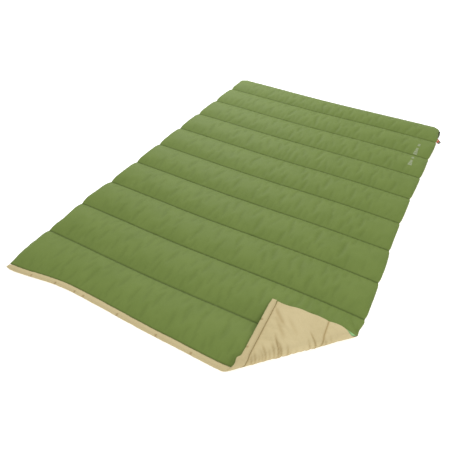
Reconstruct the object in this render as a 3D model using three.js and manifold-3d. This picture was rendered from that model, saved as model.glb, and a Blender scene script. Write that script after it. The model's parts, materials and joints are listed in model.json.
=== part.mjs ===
// A padded camp quilt lying flat, shell side up, with its foot-right corner turned back over
// itself so that the lining shows. Millimetres, +Z up, origin under the middle of the quilt.
// Inside this file the quilt is drawn with y = 0 at its foot edge, and moved once at the end.

import * as THREE from "three";
import { mergeVertices } from "three/addons/utils/BufferGeometryUtils.js";
import Module from "manifold-3d";

// Overall sizes.
const QUILT_WIDTH = 1400;
const CHANNEL_PITCH = 224;
const FULL_CHANNELS = 9;
const HEAD_CHANNEL = 184;
const QUILT_LENGTH = FULL_CHANNELS * CHANNEL_PITCH + HEAD_CHANNEL;
const HALF_WIDTH = QUILT_WIDTH / 2;
const HEAD_CORNER_RADIUS = 40;

// The layers: two cloths and the filling between them, pinched together at every seam.
const CLOTH = 1;
const GAP = 0.3;
const PINCHED_FILLING = 0.6;
const SEAM_HEIGHT = 2 * CLOTH + 2 * GAP + PINCHED_FILLING;
const CROWN_HEIGHT = 26;
const HEAD_CROWN_HEIGHT = 23;
const SEAM_MARGIN = 3;
const SIDE_ROUNDING = 80;
const SEAM_HALF_GAP = 0.4;

// The hem is a soft roll, bound in lining cloth, along the foot edge.
const HEM_WIDTH = 24;
const HEM_HEIGHT = 14;
const HEM_SIDES = 16;

// The corner is turned over a line at 45 degrees; the fold's axis lies just above the crowns.
const FOLD_LEG = 344;
const FOLD_X = HALF_WIDTH - FOLD_LEG;
const FOLD_AXIS_HEIGHT = CROWN_HEIGHT + 2;
const FOLD_HALF_GAP = 0.5;

// Threads, the webbing loop, the side label and the printed marks.
const THREAD_WIDTH = 1.2;
const THREAD_HEIGHT = 0.6;
const THREAD_OFFSET = 1.2;
const THREAD_INSET = 8;
const LOOP_LENGTH = 88;
const LOOP_WIDTH = 15;
const LOOP_LAYER = 1.2;
const LOOP_SPACE = 1;
const LOOP_BASE_Y = 2074;
const LOOP_UNDERSIDE = 2;
const LABEL_LENGTH = 38;
const LABEL_WIDTH = 38;
const LABEL_THICKNESS = 1;
const LABEL_Y = 2044;
const LABEL_HINGE_HEIGHT = 8.5;
const LABEL_DROOP = THREE.MathUtils.degToRad(11);
const PRINT_X = 620;
const PRINT_WIDTH = 22;
const PRINT_THICKNESS = 0.3;
const PRINTS = [
  { name: "printed_mark_02", from: 1800, to: 1925 },
  { name: "printed_mark_03", from: 1640, to: 1745 },
];

const wasm = await Module();
wasm.setup();

// Materials: colour, roughness and metalness of each kind of piece.
const FINISHES = {
  shell: ["#768a4a", 0.62],
  lining: ["#d2c69f", 0.8],
  filling: ["#f0f0ec", 0.95],
  hem: ["#bfb183", 0.8],
  thread: ["#67793f", 0.6],
  hemThread: ["#b9ab7c", 0.6],
  webbing: ["#2e2f18", 0.85],
  label: ["#c85a32", 0.7],
  print: ["#a3ad90", 0.5],
};

function piece(name, geometry, finish) {
  const [color, roughness] = FINISHES[finish];
  const material = new THREE.MeshStandardMaterial({ color, roughness, metalness: 0 });
  const mesh = new THREE.Mesh(geometry, material);
  mesh.name = name;
  return mesh;
}

// Where the seams run: seam 1 is nearest the head, seam 9 nearest the foot.
function seamY(number) {
  return QUILT_LENGTH - HEAD_CHANNEL - (number - 1) * CHANNEL_PITCH;
}

// A channel lies between the seam on its foot side and the one on its head side.
function channelSpan(number) {
  const footEdge = number === FULL_CHANNELS + 1 ? HEM_WIDTH : seamY(number);
  const headEdge = number === 1 ? QUILT_LENGTH : seamY(number - 1);
  return { footEdge, headEdge, crown: number === 1 ? HEAD_CROWN_HEIGHT : CROWN_HEIGHT };
}

// Height of the shell's outer face: an arch across the channel, falling round at both sides.
function shellHeight(span, x, y) {
  const from = span.footEdge + SEAM_HALF_GAP + SEAM_MARGIN;
  const to = span.headEdge - SEAM_HALF_GAP - SEAM_MARGIN;
  const across = THREE.MathUtils.clamp((y - from) / (to - from), 0, 1);
  const arch = 1 - (2 * across - 1) ** 2;
  const inward = Math.min(1, (HALF_WIDTH - Math.abs(x)) / SIDE_ROUNDING);
  const side = Math.sqrt(1 - (1 - inward) ** 2);
  return SEAM_HEIGHT + (span.crown - SEAM_HEIGHT) * arch * side;
}

// Lines across the channel, closer together at the flat sewn margins.
function channelLines(span) {
  const from = span.footEdge + SEAM_HALF_GAP;
  const to = span.headEdge - SEAM_HALF_GAP;
  const steps = 6;
  const lines = [from];
  for (let i = 0; i <= steps; i += 1) {
    lines.push(THREE.MathUtils.lerp(from + SEAM_MARGIN, to - SEAM_MARGIN, i / steps));
  }
  lines.push(to);
  return lines;
}

// Lines along the quilt, closer together towards both sides.
function widthLines() {
  const steps = 10;
  const lines = [];
  for (let i = 0; i <= steps; i += 1) {
    lines.push(HALF_WIDTH * Math.sin((Math.PI / 2) * ((2 * i) / steps - 1)));
  }
  return lines;
}

// A closed solid between a lower and an upper surface, over a grid of lines.
function solidBetween(xs, ys, lower, upper) {
  const geometry = new THREE.BoxGeometry(1, 1, 1, xs.length - 1, ys.length - 1, 1);
  const position = geometry.attributes.position;
  for (let i = 0; i < position.count; i += 1) {
    const x = xs[Math.round((position.getX(i) + 0.5) * (xs.length - 1))];
    const y = ys[Math.round((position.getY(i) + 0.5) * (ys.length - 1))];
    const surface = position.getZ(i) > 0 ? upper : lower;
    position.setXYZ(i, x, y, surface(x, y));
  }
  shareDiagonals(geometry);
  return geometry;
}

// The box splits its underside's squares the other way from its top's, so they are split again:
// then one layer's underside lies parallel to the next layer's top all over.
function shareDiagonals(geometry) {
  const underside = geometry.groups[5];
  const corners = geometry.index.array;
  for (let i = underside.start; i < underside.start + underside.count; i += 6) {
    const [a, b, d, , c] = corners.slice(i, i + 6);
    corners.set([a, b, c, a, c, d], i);
  }
}

function block(x0, x1, y0, y1, z0, z1) {
  const geometry = new THREE.BoxGeometry(x1 - x0, y1 - y0, z1 - z0);
  return geometry.translate((x0 + x1) / 2, (y0 + y1) / 2, (z0 + z1) / 2);
}

// The three layers of one or more channels that stay in one piece of cloth.
function channelLayers(spans) {
  const xs = widthLines();
  const ys = spans.flatMap(channelLines);
  const shellTop = (x, y) => {
    const span = spans.find((s) => y >= s.footEdge && y <= s.headEdge);
    return shellHeight(span, x, y);
  };
  const shellUnder = (x, y) => shellTop(x, y) - CLOTH;
  const fillingTop = (x, y) => shellTop(x, y) - CLOTH - GAP;
  const fillingUnder = () => CLOTH + GAP;
  return {
    shell: solidBetween(xs, ys, shellUnder, shellTop),
    filling: solidBetween(xs, ys, fillingUnder, fillingTop),
    lining: block(-HALF_WIDTH, HALF_WIDTH, ys[0], ys[ys.length - 1], 0, CLOTH),
  };
}

// A row of stitching, drawn as one flat strip on the sewn margin at the foot side of its seam.
function threadRow(y) {
  const z = SEAM_HEIGHT + GAP;
  const reach = HALF_WIDTH - THREAD_INSET;
  return block(-reach, reach, y - THREAD_WIDTH / 2, y + THREAD_WIDTH / 2, z, z + THREAD_HEIGHT);
}

// The hem roll: an oval tube of lining cloth around an oval core of wadding.
function hemOval(inset, halfLength) {
  const shape = new THREE.Shape();
  const radiusX = HEM_HEIGHT / 2 - inset;
  const radiusY = HEM_WIDTH / 2 - inset;
  shape.absellipse(-HEM_HEIGHT / 2, HEM_WIDTH / 2, radiusX, radiusY, 0, 2 * Math.PI);
  return { shape, depth: 2 * halfLength };
}

function alongWidth({ shape, depth }) {
  const settings = { depth, bevelEnabled: false, curveSegments: HEM_SIDES };
  const geometry = new THREE.ExtrudeGeometry(shape, settings);
  return geometry.translate(0, 0, -depth / 2).rotateY(Math.PI / 2);
}

function hemBinding() {
  const outer = hemOval(0, HALF_WIDTH);
  outer.shape.holes.push(hemOval(CLOTH, HALF_WIDTH).shape);
  return alongWidth(outer);
}

function hemWadding() {
  return alongWidth(hemOval(CLOTH + GAP, HALF_WIDTH - CLOTH));
}

// Cutting and joining.
function toSolid(geometry) {
  const bare = geometry.clone();
  bare.deleteAttribute("normal");
  bare.deleteAttribute("uv");
  const merged = mergeVertices(bare, 1e-4);
  const vertProperties = new Float32Array(merged.attributes.position.array);
  const triVerts = new Uint32Array(merged.index.array);
  return new wasm.Manifold(new wasm.Mesh({ numProp: 3, vertProperties, triVerts }));
}

function toGeometry(solid) {
  const mesh = solid.getMesh();
  const geometry = new THREE.BufferGeometry();
  const points = new Float32Array(mesh.vertProperties);
  geometry.setAttribute("position", new THREE.BufferAttribute(points, 3));
  geometry.setIndex(new THREE.BufferAttribute(new Uint32Array(mesh.triVerts), 1));
  return geometry;
}

// A tall prism over everything beyond the fold line, moved outwards by the given amount.
function beyondFold(outward) {
  const reach = 100;
  const shift = outward * Math.SQRT2;
  const shape = new THREE.Shape();
  shape.moveTo(FOLD_X + shift - reach, -reach);
  shape.lineTo(HALF_WIDTH + reach, -reach);
  shape.lineTo(HALF_WIDTH + reach, FOLD_LEG + reach - shift);
  shape.closePath();
  const settings = { depth: 3 * reach, bevelEnabled: false };
  return toSolid(new THREE.ExtrudeGeometry(shape, settings).translate(0, 0, -reach));
}

const cornerSide = beyondFold(FOLD_HALF_GAP);
const notPanelSide = beyondFold(-FOLD_HALF_GAP);

function splitAtFold(geometry) {
  const solid = toSolid(geometry);
  return {
    panel: toGeometry(solid.subtract(notPanelSide)),
    corner: toGeometry(solid.intersect(cornerSide)),
  };
}

// The head corners are rounded by keeping what lies inside a rounded outline.
function roundedHead(geometry) {
  const r = HEAD_CORNER_RADIUS;
  const shape = new THREE.Shape();
  shape.moveTo(-HALF_WIDTH, 0);
  shape.lineTo(HALF_WIDTH, 0);
  shape.absarc(HALF_WIDTH - r, QUILT_LENGTH - r, r, 0, Math.PI / 2, false);
  shape.absarc(r - HALF_WIDTH, QUILT_LENGTH - r, r, Math.PI / 2, Math.PI, false);
  shape.closePath();
  const settings = { depth: 200, bevelEnabled: false, curveSegments: 6 };
  const outline = new THREE.ExtrudeGeometry(shape, settings).translate(0, 0, -100);
  return toGeometry(toSolid(geometry).intersect(toSolid(outline)));
}

// Groups: the quilt as drawn, and the corner, which is drawn flat and then turned over.
const quilt = new THREE.Group();
const foldAxis = new THREE.Group();
const corner = new THREE.Group();
const foldPoint = new THREE.Vector3(FOLD_X, 0, FOLD_AXIS_HEIGHT);
foldAxis.position.copy(foldPoint);
foldAxis.quaternion.setFromAxisAngle(new THREE.Vector3(1, 1, 0).normalize(), Math.PI);
corner.position.copy(foldPoint).negate();
foldAxis.add(corner);
quilt.add(foldAxis);

// Channels 1 to 8, from the head, each with its own length of the three layers.
for (let number = 1; number < FULL_CHANNELS; number += 1) {
  const label = String(number).padStart(2, "0");
  const layers = channelLayers([channelSpan(number)]);
  for (const layer of ["shell", "filling", "lining"]) {
    const geometry = number === 1 ? roundedHead(layers[layer]) : layers[layer];
    quilt.add(piece(`${layer}_${label}`, geometry, layer));
  }
  const row = threadRow(seamY(number) - THREAD_OFFSET);
  quilt.add(piece(`quilting_thread_${label}`, row, "thread"));
}

// Channels 9 and 10, the hem roll and their stitching cross the fold, so each is split there.
const footSpans = [channelSpan(FULL_CHANNELS + 1), channelSpan(FULL_CHANNELS)];
const footLayers = channelLayers(footSpans);
const acrossFold = [
  ["shell", footLayers.shell, "shell"],
  ["filling", footLayers.filling, "filling"],
  ["lining", footLayers.lining, "lining"],
  ["hem_binding", hemBinding(), "hem"],
  ["hem_wadding", hemWadding(), "filling"],
  ["quilting_thread_09", threadRow(seamY(FULL_CHANNELS) - THREAD_OFFSET), "thread"],
  ["hem_thread", threadRow(HEM_WIDTH + SEAM_HALF_GAP + THREAD_OFFSET), "hemThread"],
];
for (const [name, geometry, finish] of acrossFold) {
  const parts = splitAtFold(geometry);
  quilt.add(piece(`${name}_foot`, parts.panel, finish));
  corner.add(piece(`${name}_corner`, parts.corner, finish));
}

// The webbing loop, folded double, sewn into the right side edge and lying towards the head.
function hangLoop() {
  const half = LOOP_LAYER + LOOP_SPACE / 2;
  const inner = LOOP_SPACE / 2;
  const bendX = LOOP_LENGTH - half;
  const shape = new THREE.Shape();
  shape.moveTo(0, -half);
  shape.lineTo(bendX, -half);
  shape.absarc(bendX, 0, half, -Math.PI / 2, Math.PI / 2, false);
  shape.lineTo(0, half);
  shape.lineTo(0, inner);
  shape.lineTo(bendX, inner);
  shape.absarc(bendX, 0, inner, Math.PI / 2, -Math.PI / 2, true);
  shape.lineTo(0, -inner);
  shape.closePath();
  const settings = { depth: LOOP_WIDTH, bevelEnabled: false, curveSegments: 8 };
  const geometry = new THREE.ExtrudeGeometry(shape, settings);
  geometry.rotateX(Math.PI / 2).rotateZ(Math.PI / 2);
  const x = HALF_WIDTH + SEAM_HALF_GAP;
  return geometry.translate(x, LOOP_BASE_Y, LOOP_UNDERSIDE + half);
}
quilt.add(piece("hang_loop", hangLoop(), "webbing"));

// The side label hangs from the same edge, just below the loop, and droops to the ground.
const labelHinge = new THREE.Group();
labelHinge.position.set(HALF_WIDTH + 1, LABEL_Y, LABEL_HINGE_HEIGHT);
labelHinge.rotation.y = LABEL_DROOP;
const halfLabel = LABEL_WIDTH / 2;
const labelTop = LABEL_THICKNESS / 2;
const labelBlock = block(0, LABEL_LENGTH, -halfLabel, halfLabel, -labelTop, labelTop);
labelHinge.add(piece("side_label", labelBlock, "label"));
quilt.add(labelHinge);

// Two printed marks on the shell near the right side, one on each of channels 2 and 3.
PRINTS.forEach(({ name, from, to }, index) => {
  const span = channelSpan(index + 2);
  const steps = 4;
  const ys = [];
  for (let i = 0; i <= steps; i += 1) {
    ys.push(THREE.MathUtils.lerp(from, to, i / steps));
  }
  const xs = [PRINT_X - PRINT_WIDTH / 2, PRINT_X + PRINT_WIDTH / 2];
  const under = (x, y) => shellHeight(span, x, y) + GAP;
  const over = (x, y) => under(x, y) + PRINT_THICKNESS;
  quilt.add(piece(name, solidBetween(xs, ys, under, over), "print"));
});

quilt.position.y = -QUILT_LENGTH / 2;
const campQuilt = new THREE.Group();
campQuilt.add(quilt);
export default campQuilt;
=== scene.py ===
import json
import math

import bmesh
import bpy
import numpy as np
from mathutils import Matrix, Vector, noise


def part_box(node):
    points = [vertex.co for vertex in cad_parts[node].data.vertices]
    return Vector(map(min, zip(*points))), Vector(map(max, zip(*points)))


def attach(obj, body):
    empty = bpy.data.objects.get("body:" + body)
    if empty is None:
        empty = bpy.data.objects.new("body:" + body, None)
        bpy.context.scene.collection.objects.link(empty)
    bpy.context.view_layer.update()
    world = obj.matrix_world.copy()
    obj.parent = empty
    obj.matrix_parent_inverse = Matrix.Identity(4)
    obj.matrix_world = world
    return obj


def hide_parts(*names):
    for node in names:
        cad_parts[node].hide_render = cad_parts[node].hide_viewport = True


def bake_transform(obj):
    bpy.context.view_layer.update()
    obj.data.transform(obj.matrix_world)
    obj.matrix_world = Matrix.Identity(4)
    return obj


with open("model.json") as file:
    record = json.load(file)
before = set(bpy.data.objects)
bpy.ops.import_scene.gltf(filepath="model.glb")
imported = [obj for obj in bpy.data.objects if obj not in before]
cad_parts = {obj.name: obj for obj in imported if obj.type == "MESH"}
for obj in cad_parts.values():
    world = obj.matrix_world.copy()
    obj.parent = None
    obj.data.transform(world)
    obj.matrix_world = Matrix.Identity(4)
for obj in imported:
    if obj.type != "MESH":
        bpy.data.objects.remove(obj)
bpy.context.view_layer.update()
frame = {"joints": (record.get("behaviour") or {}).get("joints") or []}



def placed(name, data):
    """Puts a mesh, a lamp or a camera into the scene as an object of that name."""
    thing = bpy.data.objects.new(name, data)
    bpy.context.scene.collection.objects.link(thing)
    return thing


# ---------------------------------------------------------------------------------------------
# Camera. It stands off the foot-right corner of the quilt, a little over a metre up, and looks
# across it towards the head.
CAMERA_PLACE = (0.7338, -1.9069, 1.4161)
CAMERA_AZIMUTH = 26.99
CAMERA_ELEVATION = 40.24
CAMERA_ROLL = 2.44
CAMERA_LENS = 37.39

camera_data = bpy.data.cameras.new("camera")
camera_data.lens = CAMERA_LENS
camera = placed("camera", camera_data)
camera.matrix_world = (
    Matrix.Translation(CAMERA_PLACE)
    @ Matrix.Rotation(math.radians(CAMERA_AZIMUTH), 4, "Z")
    @ Matrix.Rotation(math.radians(90 - CAMERA_ELEVATION), 4, "X")
    @ Matrix.Rotation(math.radians(CAMERA_ROLL), 4, "Z")
)
bpy.context.scene.camera = camera

# ---------------------------------------------------------------------------------------------
# Shell. One olive woven cloth is the quilt's upper face. It is sewn through to the lining in
# nine straight rows, and between them the wadding lifts it into ten soft channels. The relief
# is a cloth simulation held at the rows and the edges; it is then cut into lengths at the rows,
# because the quilt folds there.
HEM_WIDTH = 0.024
CLOTH_STEP = 0.008
NEXT_TO_SEAM = 0.003
SEAM_HEIGHT = 0.005
DITCH_HEIGHT = 0.007
EDGE_LIFT = 0.0055
START_RISE = 0.0165
CROWN_LIMIT = 0.0264
PUCKER_START = 0.0019
PUCKER_END = 0.0008
SIDE_ROUNDING = 0.045
HEAD_CORNER_RADIUS = 0.04
SIDE_NOTCH = 0.0035
SIDE_BULGE = 0.002
SIDE_PULL_START = 0.45
HOLLOW_DEPTH = 0.0016
SHELL_THICKNESS = 0.0005

joints = {joint["name"]: joint for joint in frame["joints"]}
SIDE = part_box("shell_05")[1].x
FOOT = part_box("hem_binding_foot")[0].y
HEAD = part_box("shell_01")[1].y
DITCH = FOOT + HEM_WIDTH
seam_places = [joints[f"seam_{number:02d}_fold"]["pos_m"][1] for number in range(1, 9)]
PITCH = seam_places[0] - seam_places[1]
seam_places.append(seam_places[-1] - PITCH)
lines_across = [DITCH, *reversed(seam_places), HEAD]


def wander(x, y, scale, seed):
    """A smooth random number between about -1 and 1 that changes over the given distance."""
    return noise.noise(Vector((x / scale, y / scale, seed)))


def wander_over(xs, ys, scale_x, scale_y, seed):
    rows = [[noise.noise(Vector((x / scale_x, y / scale_y, seed))) for x in xs] for y in ys]
    return np.array(rows)


def ease(value):
    """0 below 0, 1 above 1, and a smooth rise between them."""
    clipped = np.clip(value, 0, 1)
    return clipped * clipped * (3 - 2 * clipped)


def through(points, at):
    """A smooth line through a few points, each given as a place and a value."""
    at = np.asarray(at, float)
    value = np.full_like(at, points[0][1])
    for (place, start), (next_place, end) in zip(points, points[1:]):
        value = value + (end - start) * ease((at - place) / (next_place - place))
    return value


def spaced(start, end, step):
    """Even places from start up to end, with one extra place close to either end."""
    count = round((end - start) / step)
    inner = np.linspace(start, end, count + 1)[1:-1]
    return [start, start + NEXT_TO_SEAM, *inner, end - NEXT_TO_SEAM]


rows = []
for low_line, high_line in zip(lines_across, lines_across[1:]):
    rows += spaced(low_line, high_line, CLOTH_STEP)
rows = np.array([*rows, HEAD])
columns = np.array([*spaced(-SIDE, SIDE, CLOTH_STEP), SIDE])
line_rows = [int(np.argmin(abs(rows - line))) for line in lines_across]
flat_x, flat_y = np.meshgrid(columns, rows)


def cloth_object(name, places, cut_x, cut_y):
    """A sheet of cloth as a grid. Its UV map, cloth, holds where each point was on the flat cut."""
    count_y, count_x = cut_x.shape
    grid = bmesh.new()
    bmesh.ops.create_grid(grid, x_segments=count_x - 1, y_segments=count_y - 1, size=1)
    grid.verts.ensure_lookup_table()
    cut_map = grid.loops.layers.uv.new("cloth")
    at_x = cut_x.ravel()
    at_y = cut_y.ravel()
    for face in grid.faces:
        face.smooth = True
        for loop in face.loops:
            loop[cut_map].uv = (at_x[loop.vert.index], at_y[loop.vert.index])
    mesh = bpy.data.meshes.new(name)
    grid.to_mesh(mesh)
    grid.free()
    mesh.vertices.foreach_set("co", places.reshape(-1).astype(np.float32))
    mesh.update()
    return placed(name, mesh)


def places_of(mesh):
    places = np.zeros(len(mesh.vertices) * 3)
    mesh.vertices.foreach_get("co", places)
    return places.reshape(-1, 3)


def settle(places, held, pressure, growth, bending, frames):
    """Lets a held sheet of cloth puff up and pucker, and returns where its points come to rest."""
    across, along = np.meshgrid(np.arange(places.shape[1]), np.arange(places.shape[0]))
    sheet = cloth_object("settling_cloth", places, across, along)
    pinned = sheet.vertex_groups.new(name="held")
    pinned.add([int(index) for index in np.flatnonzero(held)], 1.0, "REPLACE")
    cloth = sheet.modifiers.new("cloth", "CLOTH")
    cloth.settings.quality = 5
    cloth.settings.mass = 0.3
    cloth.settings.tension_stiffness = 15
    cloth.settings.compression_stiffness = 15
    cloth.settings.shear_stiffness = 5
    cloth.settings.bending_stiffness = bending
    cloth.settings.air_damping = 1
    cloth.settings.vertex_group_mass = "held"
    cloth.settings.use_pressure = True
    cloth.settings.uniform_pressure_force = pressure
    cloth.settings.shrink_min = -growth
    cloth.settings.effector_weights.gravity = 0
    cloth.collision_settings.use_collision = False
    cloth.point_cache.frame_start = 1
    cloth.point_cache.frame_end = frames
    scene = bpy.context.scene
    for moment in range(1, frames + 1):
        scene.frame_set(moment)
    depsgraph = bpy.context.evaluated_depsgraph_get()
    settled = places_of(sheet.evaluated_get(depsgraph).data).reshape(places.shape)
    scene.frame_set(1)
    mesh = sheet.data
    bpy.data.objects.remove(sheet)
    bpy.data.meshes.remove(mesh)
    return settled


# The relief before it settles: an arch across each channel that falls away at both sides. The
# head channel stays full almost up to its outer edge.
span = np.clip(np.searchsorted(lines_across, flat_y, side="right") - 1, 0, len(lines_across) - 2)
span_start = np.array(lines_across)[span]
span_end = np.array(lines_across)[span + 1]
part_across = np.clip((flat_y - span_start) / (span_end - span_start), 0, 1)
towards_head_edge = (span == len(lines_across) - 2) & (part_across > 0.5)
arch = 1 - abs(2 * part_across - 1) ** np.where(towards_head_edge, 4.5, 2.3)
inward = np.clip((SIDE - abs(flat_x)) / SIDE_ROUNDING, 0, 1)
side_fall = np.sqrt(1 - (1 - inward) ** 2)
near_foot = ease(1 - (flat_y - DITCH) / 0.02)
near_head = ease(1 - (HEAD - flat_y) / 0.02)
near_side = (1 - inward) ** 2
held_height = SEAM_HEIGHT + (DITCH_HEIGHT - SEAM_HEIGHT) * near_foot
held_height = held_height + EDGE_LIFT * np.minimum(1, 1.4 * arch) * near_side
held_height = np.maximum(held_height, SEAM_HEIGHT + EDGE_LIFT * near_head * ease(inward + 0.3))
ripple = wander_over(columns, rows, 0.021, 0.10, 11)
ripple = ripple * (0.75 + 0.75 * wander_over(columns, rows, 0.3, 0.2, 19))
shell = np.stack([flat_x, flat_y, held_height + START_RISE * arch * side_fall], -1)
shell[..., 2] += PUCKER_START * ripple * np.minimum(1, 3 * arch * side_fall)

# No row of stitching lies quite straight or quite evenly. The ends of the foot edge flare, and
# the head edge dips in its middle. Places are along the width, values towards the head.
FOOT_EDGE = ((-0.70, -0.024), (-0.36, 0.010), (0.10, -0.003), (0.30, -0.006), (0.42, 0.004))
HEAD_EDGE = ((-0.70, 0.004), (-0.05, -0.010), (0.70, 0.006))
ROW_SHIFTS = (0.010, 0.013, 0.005, 0.0, -0.004, -0.003, -0.003, -0.003, -0.003)
ROW_WAVE = 0.0045
ROW_WAVE_LENGTH = 1.1
wave = ROW_WAVE * np.cos(2 * math.pi * (columns - 0.42) / ROW_WAVE_LENGTH)
row_sway = wander_over(columns, lines_across, 0.15, 0.15, 7)
line_sways = [through(FOOT_EDGE, columns)]
for line, shift in enumerate(ROW_SHIFTS, start=1):
    line_sways.append(shift + wave + 0.0015 * row_sway[line])
line_sways.append(through(HEAD_EDGE, columns))
line_sways = np.array(line_sways)
along_width = np.broadcast_to(np.arange(len(columns)), flat_x.shape)
sway_before = line_sways[span, along_width]
sway_after = line_sways[span + 1, along_width]
shell[..., 1] += sway_before + (sway_after - sway_before) * part_across

# How far each side stands in from its straight line, from the foot up, and a notch at each row.
LEFT_SIDE = ((-1.1, 0.027), (-0.95, 0.014), (-0.88, 0.008), (-0.80, 0.011), (-0.62, -0.003),
             (-0.40, 0.003), (0.30, -0.002), (1.10, 0.002))
RIGHT_SIDE = ((-1.1, 0.000), (-1.045, 0.007), (-0.98, 0.002), (-0.74, 0.004),
              (-0.66, -0.007), (-0.55, -0.005), (-0.36, -0.003),
              (-0.10, 0.008), (0.15, 0.006), (0.60, -0.004), (0.89, -0.012), (1.10, -0.001))
notch = SIDE_NOTCH * np.exp(-((part_across * (span_end - span_start)) / 0.014) ** 2)
notch += SIDE_NOTCH * np.exp(-(((1 - part_across) * (span_end - span_start)) / 0.010) ** 2)
notch = np.where((flat_y < seam_places[8] - 0.1) | (flat_y > HEAD - 0.06), 0, notch)
bulge = SIDE_BULGE * arch
side_sway = np.where(flat_x < 0, through(LEFT_SIDE, flat_y), through(RIGHT_SIDE, flat_y))
towards_side = ease((abs(flat_x) - SIDE_PULL_START) / (SIDE - SIDE_PULL_START))
close_to_side = ease((abs(flat_x) - 0.60) / (SIDE - 0.60))
shell[..., 0] -= np.sign(flat_x) * (towards_side * side_sway + close_to_side * (notch - bulge))

# The head corners are rounded: the square corner is eased on to a quarter circle.
round_x = (abs(shell[..., 0]) - (SIDE - HEAD_CORNER_RADIUS)) / HEAD_CORNER_RADIUS
round_y = (shell[..., 1] - (HEAD - HEAD_CORNER_RADIUS)) / HEAD_CORNER_RADIUS
in_corner = (round_x > 0) & (round_y > 0)
eased_x = round_x * np.sqrt(np.clip(1 - round_y**2 / 2, 0, 1))
eased_y = round_y * np.sqrt(np.clip(1 - round_x**2 / 2, 0, 1))
corner_x = np.sign(flat_x) * (SIDE - HEAD_CORNER_RADIUS + eased_x * HEAD_CORNER_RADIUS)
corner_y = HEAD - HEAD_CORNER_RADIUS + eased_y * HEAD_CORNER_RADIUS
shell[..., 0] = np.where(in_corner, corner_x, shell[..., 0])
shell[..., 1] = np.where(in_corner, corner_y, shell[..., 1])

sewn = np.zeros(flat_x.shape, bool)
sewn[line_rows] = True
sewn[:, 0] = True
sewn[:, -1] = True
shell = settle(shell, sewn, pressure=2, growth=0.009, bending=0.35, frames=12)
shell[..., 2] = np.minimum(shell[..., 2], CROWN_LIMIT)

# Short fine puckers gather at the rows of stitching; the hollows between them are measured, and
# painted shade darkens them.
fine_puckers = wander_over(columns, rows, 0.013, 0.085, 29)
fine_puckers = fine_puckers * (0.7 + 1.1 * wander_over(columns, rows, 0.22, 0.16, 37))
close_to_row = 0.35 + 0.65 * abs(2 * part_across - 1)
shell[..., 2] += PUCKER_END * fine_puckers * close_to_row * np.minimum(1, 4 * arch * side_fall)
smoothed = np.pad(shell[..., 2], ((0, 0), (4, 4)), mode="edge")
smoothed = np.mean([smoothed[:, i : i + len(columns)] for i in range(9)], axis=0)
hollow = np.clip((smoothed - shell[..., 2]) / HOLLOW_DEPTH, 0, 1) * np.minimum(
    1, 4 * arch * side_fall
)
held_flat = np.where(sewn, shell[..., 2], held_height)
puff = np.clip((shell[..., 2] - held_flat) / (0.024 - SEAM_HEIGHT), 0, 1)


def sample(values, x, y):
    """A value of the relief at any place on the flat cut."""
    x = np.asarray(x, float)
    y = np.asarray(y, float)
    column = np.interp(x, columns, np.arange(len(columns)))
    row = np.interp(y, rows, np.arange(len(rows)))
    left = np.minimum(column.astype(int), len(columns) - 2)
    below = np.minimum(row.astype(int), len(rows) - 2)
    u = column - left
    v = row - below
    if values.ndim == 3:
        u = u[..., None]
        v = v[..., None]
    near = values[below, left] * (1 - u) + values[below, left + 1] * u
    far = values[below + 1, left] * (1 - u) + values[below + 1, left + 1] * u
    return near * (1 - v) + far * v


def thicken(piece, thickness):
    """Gives a sheet its thickness on the inner side, with crisp cut edges."""
    body = bmesh.new()
    body.from_mesh(piece.data)
    bmesh.ops.solidify(body, geom=list(body.faces), thickness=thickness)
    border = [edge for edge in body.edges if len(edge.link_faces) == 2]
    for face in body.faces:
        face.smooth = True
    for edge in border:
        first, second = edge.link_faces
        if first.normal.dot(second.normal) < 0.3:
            edge.smooth = False
    body.to_mesh(piece.data)
    body.free()
    return piece


def point_attribute(piece, name, values):
    attribute = piece.data.attributes.new(name, "FLOAT", "POINT")
    attribute.data.foreach_set("value", np.asarray(values, np.float32).ravel())


def colour_mix(material, factor, under, over):
    """Mixes two colours, each a socket or three numbers, and returns the mixed colour."""
    mix = material.node_tree.nodes.new("ShaderNodeMix")
    mix.data_type = "RGBA"
    material.node_tree.links.new(factor, mix.inputs["Factor"])
    for socket, colour in ((mix.inputs["A"], under), (mix.inputs["B"], over)):
        if isinstance(colour, tuple):
            socket.default_value = (*colour, 1)
        else:
            material.node_tree.links.new(colour, socket)
    return mix.outputs["Result"]


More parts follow.
